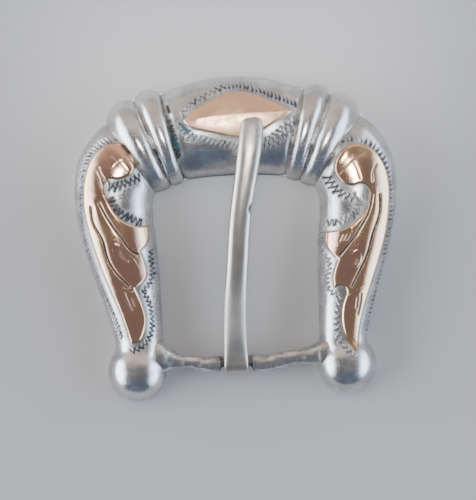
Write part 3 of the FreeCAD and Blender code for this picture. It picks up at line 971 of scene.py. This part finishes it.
# Camera: focal length in millimetres, height in metres, turn, and place over the buckle's middle
LENS = 330
CAMERA_HEIGHT = 0.57
TURN = math.radians(2.24)
SHIFT = (0.104, -1.762)  # to the camera's right and up, in millimetres

# Lamps: place, aim and size in metres, power in watts and spread in degrees
FLOOR_LAMP = ((-0.15, 0.3, 0.9), (0, 0, 0), (0.9, 0.9), 1.7, 180)
CROWN_LAMP = ((0, 0.0215, 0.1), (0, 0.0215, 0), (0.052, 0.032), 0.003, 20)

# Brightness and colour of the studio on each side of the buckle
OVERHEAD = (0.23, 0.225, 0.23)
BEHIND = (0.98, 0.82, 0.72)
IN_FRONT = (0.15, 0.185, 0.26)
LEFT_PANEL = (7.2, 7.7, 8.6)
RIGHT_PANEL = (3.8, 4.7, 6.0)


def studio_world():
    """Soft panels left and right, warm grey behind, dark blue in front and grey overhead."""
    world = bpy.data.worlds.new("studio")
    f = Finish(world, "Generated")
    x, y, _ = (f.node("SeparateXYZ", {}, {0: f.place}, output=axis) for axis in "XYZ")
    soft = f.noise(500, 3.0) - 0.5
    colour = f.mix(f.step(y + 0.5 * soft, 0.1, 0.8), rgba(OVERHEAD), rgba(BEHIND))
    colour = f.mix(f.step(-0.3 - y + 0.3 * soft, 0.0, 0.45), colour, rgba(IN_FRONT))
    colour = f.mix(f.step(-0.66 - x + 0.4 * soft, 0.0, 0.3), colour, rgba(LEFT_PANEL))
    colour = f.mix(f.step(x - 0.58 + 0.4 * soft, 0.0, 0.4), colour, rgba(RIGHT_PANEL))
    f.node("OutputWorld", {}, {"Surface": f.node("Background", {}, {"Color": colour, "Strength": 1.0})})
    return world


def lay_floor(scene):
    bm = bmesh.new()
    bmesh.ops.create_grid(bm, x_segments=1, y_segments=1, size=2.0)
    mesh = bpy.data.meshes.new("floor")
    bm.to_mesh(mesh)
    bm.free()
    floor = bpy.data.objects.new("floor", mesh)
    scene.collection.objects.link(floor)
    pale = bpy.data.materials.new("pale_floor")
    pale.use_nodes = True
    sockets = pale.node_tree.nodes["Principled BSDF"].inputs
    sockets["Base Color"].default_value = rgba(scene.buckle_colours.floor)
    sockets["Roughness"].default_value = 0.8
    mesh.materials.append(pale)


def hang_lamp(scene, name, place, aim, size, power, spread):
    data = bpy.data.lights.new(name, "AREA")
    data.shape = "RECTANGLE"
    data.size, data.size_y = size
    data.energy = power
    data.spread = math.radians(spread)
    lamp = bpy.data.objects.new(name, data)
    scene.collection.objects.link(lamp)
    lamp.location = place
    lamp.rotation_euler = (Vector(aim) - Vector(place)).to_track_quat("-Z", "Y").to_euler()
    return lamp


def set_camera(scene):
    data = bpy.data.cameras.new("camera")
    data.sensor_fit = "HORIZONTAL"
    data.lens = LENS
    data.clip_start = 0.01
    camera = bpy.data.objects.new("camera", data)
    scene.collection.objects.link(camera)
    right = Vector((math.cos(TURN), -math.sin(TURN), 0))
    above = Vector((math.sin(TURN), math.cos(TURN), 0))
    camera.location = (right * SHIFT[0] + above * SHIFT[1]) * MM + Vector((0, 0, CAMERA_HEIGHT))
    camera.rotation_euler = (0, 0, -TURN)
    scene.camera = camera


class BUCKLE_OT_stage(bpy.types.Operator):
    """Set the floor, the studio lights and the camera"""

    bl_idname = "buckle.stage"
    bl_label = "Set Stage"

    def execute(self, context):
        scene = context.scene
        lay_floor(scene)
        hang_lamp(scene, "floor_box", *FLOOR_LAMP).visible_glossy = False
        hang_lamp(scene, "crown_box", *CROWN_LAMP).visible_camera = False
        scene.world = studio_world()
        set_camera(scene)
        return {"FINISHED"}


class BUCKLE_PT_panel(bpy.types.Panel):
    """Buttons for the buckle's pieces, and its sizes and colours"""

    bl_label = "Ranger Buckle"
    bl_idname = "BUCKLE_PT_panel"
    bl_space_type = "VIEW_3D"
    bl_region_type = "UI"
    bl_category = "Buckle"

    def draw(self, context):
        for operator in OPERATORS:
            self.layout.operator(operator.bl_idname)
        for group in (context.scene.buckle_sizes, context.scene.buckle_colours):
            for name in group.__annotations__:
                self.layout.prop(group, name)


OPERATORS = (
    BUCKLE_OT_finishes,
    BUCKLE_OT_plate,
    BUCKLE_OT_crown,
    BUCKLE_OT_collars,
    BUCKLE_OT_arms,
    BUCKLE_OT_bar,
    BUCKLE_OT_tongue,
    BUCKLE_OT_stage,
)
CLASSES = (BuckleSizes, BuckleColours, *OPERATORS, BUCKLE_PT_panel)


def register():
    for cls in CLASSES:
        bpy.utils.register_class(cls)
    bpy.types.Scene.buckle_sizes = bpy.props.PointerProperty(type=BuckleSizes)
    bpy.types.Scene.buckle_colours = bpy.props.PointerProperty(type=BuckleColours)


def unregister():
    del bpy.types.Scene.buckle_colours
    del bpy.types.Scene.buckle_sizes
    for cls in reversed(CLASSES):
        bpy.utils.unregister_class(cls)


def main():
    random.seed(7)
    register()
    bpy.ops.buckle.finishes()
    bpy.ops.buckle.plate()
    bpy.ops.buckle.crown()
    bpy.ops.buckle.collars()
    bpy.ops.buckle.arms()
    bpy.ops.buckle.bar()
    bpy.ops.buckle.tongue()
    bpy.ops.buckle.stage()


if __name__ == "__main__":
    main()
